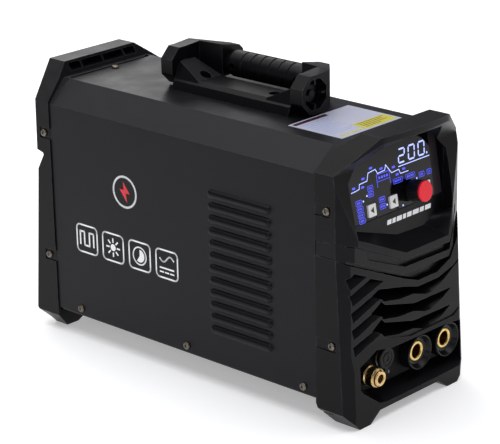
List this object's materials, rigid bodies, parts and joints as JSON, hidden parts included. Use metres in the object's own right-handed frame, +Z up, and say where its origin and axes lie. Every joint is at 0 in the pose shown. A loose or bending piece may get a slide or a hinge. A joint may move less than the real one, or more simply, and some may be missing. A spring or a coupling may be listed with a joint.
{
  "type": "tig welding machine",
  "caption": "Portable inverter TIG welding power source with folding handle, tilted control panel, vented moulded front, output sockets and fan-cooled rear.",
  "frame": {"origin": "on the floor under the middle of the case's bounding box", "axes": "+Z up, the control panel and output sockets face -Y, +X is the side with the folded handle grip"},
  "size_m": [0.1798, 0.44, 0.301],
  "materials": {
    "cover_paint": "satin powder coat",
    "tray_zinc": "satin powder coat",
    "frame_plastic": "fine moulded texture",
    "belt_plastic": "satin moulded",
    "lower_plastic": "fine moulded texture",
    "handle_plastic": "fine moulded texture",
    "grip_rubber": "satin soft grip",
    "screw_steel": "black oxide",
    "handle_steel": "dark zinc",
    "connector_black": "satin",
    "collar_plastic": "semi-gloss",
    "brass": "turned",
    "gas_metal": "nickel-tinted, turned",
    "nut_steel": "zinc",
    "socket_metal": "satin chrome",
    "cap_rubber": "matte",
    "panel_paint": "satin",
    "window_gloss": "polished, lit display",
    "pcb": "solder mask",
    "module_black": "moulded",
    "button_white": "semi-gloss",
    "encoder_metal": "plated",
    "knob_black": "satin",
    "knob_red": "gloss",
    "panel_rear": "satin powder coat",
    "fan_black": "moulded",
    "guard_wire": "bright plated wire",
    "switch_black": "semi-gloss",
    "rocker_red": "gloss",
    "gland_nylon": "satin nylon",
    "inlet_brass": "turned",
    "earth_steel": "zinc",
    "label_film": "printed film",
    "heatsink_alu": "extruded",
    "module_plastic": "moulded",
    "can_sleeve": "shrink sleeve",
    "ferrite": "sintered",
    "copper": "enamelled winding",
    "coil_tape": "tape",
    "valve_metal": "plated",
    "bus_copper": "tinned copper",
    "hose_rubber": "matte"
  },
  "bodies": {
    "case": {"base_tray": "tray_zinc", "outer_cover": "cover_paint", "front_bezel": "frame_plastic", "front_belt": "belt_plastic", "lower_front_frame": "lower_plastic", "connector_plate": "connector_black", "dinse_collar_left": "collar_plastic", "dinse_insert_left": "brass", "dinse_collar_right": "collar_plastic", "dinse_insert_right": "brass", "gas_fitting": "gas_metal", "remote_socket": "socket_metal", "dust_cap_bracket": "nut_steel", "control_plate": "panel_paint", "display_window": "window_gloss", "control_board": "pcb", "panel_modules": "module_black", "encoder_body": "encoder_metal", "handle_base": "handle_plastic", "handle_screws": "handle_steel", "rear_frame": "frame_plastic", "rear_panel": "panel_rear", "fan_frame": "fan_black", "fan_guard": "guard_wire", "fan_screws": "screw_steel", "power_switch": "switch_black", "mains_gland": "gland_nylon", "gas_inlet": "inlet_brass", "earth_stud": "earth_steel", "fitting_nuts": "nut_steel", "frame_screws": "screw_steel", "cover_screws": "screw_steel", "top_label": "label_film", "board_posts": "earth_steel", "power_board": "pcb", "heatsinks": "heatsink_alu", "power_modules": "module_plastic", "capacitors": "can_sleeve", "upper_shelf": "panel_rear", "magnetic_cores": "ferrite", "transformer_winding": "copper", "hf_coil": "coil_tape", "output_choke": "copper", "gas_valve": "valve_metal", "bus_bars": "bus_copper", "gas_hose": "hose_rubber"},
    "knob_press": {"encoder_plunger": "encoder_metal"},
    "knob": {"encoder_shaft": "encoder_metal", "knob": "knob_black", "knob_cap": "knob_red"},
    "button_mode": {"button_mode": "button_white"},
    "button_trigger": {"button_trigger": "button_white"},
    "button_store": {"button_store": "button_white"},
    "fan": {"fan_rotor": "fan_black"},
    "rocker": {"switch_rocker": "rocker_red"},
    "dust_cap": {"dust_cap": "cap_rubber"},
    "handle": {"handle_bail": "handle_plastic", "handle_grip": "grip_rubber", "grip_screws": "handle_steel"}
  },
  "joints": [
    {"name": "knob_press_in", "type": "slide", "parent": "case", "child": "knob_press", "axis": [0, 0.9863, -0.165], "range_m": [0, 0.0006], "stiffness_N_per_m": 2500},
    {"name": "knob_turn", "type": "hinge", "parent": "knob_press", "child": "knob", "pos_m": [0.0247, -0.19046, 0.20119], "axis": [0, -0.9863, 0.165], "continuous": true},
    {"name": "button_mode_press", "type": "slide", "parent": "case", "child": "button_mode", "axis": [0, 0.9863, -0.165], "range_m": [0, 0.0008], "stiffness_N_per_m": 1500},
    {"name": "button_trigger_press", "type": "slide", "parent": "case", "child": "button_trigger", "axis": [0, 0.9863, -0.165], "range_m": [0, 0.0008], "stiffness_N_per_m": 1500},
    {"name": "button_store_press", "type": "slide", "parent": "case", "child": "button_store", "axis": [0, 0.9863, -0.165], "range_m": [0, 0.0008], "stiffness_N_per_m": 1500},
    {"name": "fan_spin", "type": "hinge", "parent": "case", "child": "fan", "pos_m": [0, 0.168, 0.178], "axis": [0, 1, 0], "continuous": true},
    {"name": "rocker_tilt", "type": "hinge", "parent": "case", "child": "rocker", "pos_m": [-0.038, 0.182, 0.088], "axis": [1, 0, 0], "range_deg": [-18, 0]},
    {"name": "dust_cap_open", "type": "hinge", "parent": "case", "child": "dust_cap", "pos_m": [-0.02, -0.1979, 0.0366], "axis": [1, 0, 0], "range_deg": [0, 95]},
    {"name": "handle_fold", "type": "hinge", "parent": "case", "child": "handle", "pos_m": [0, 0, 0.281], "axis": [0, -1, 0], "range_deg": [0, 90]}
  ]
}
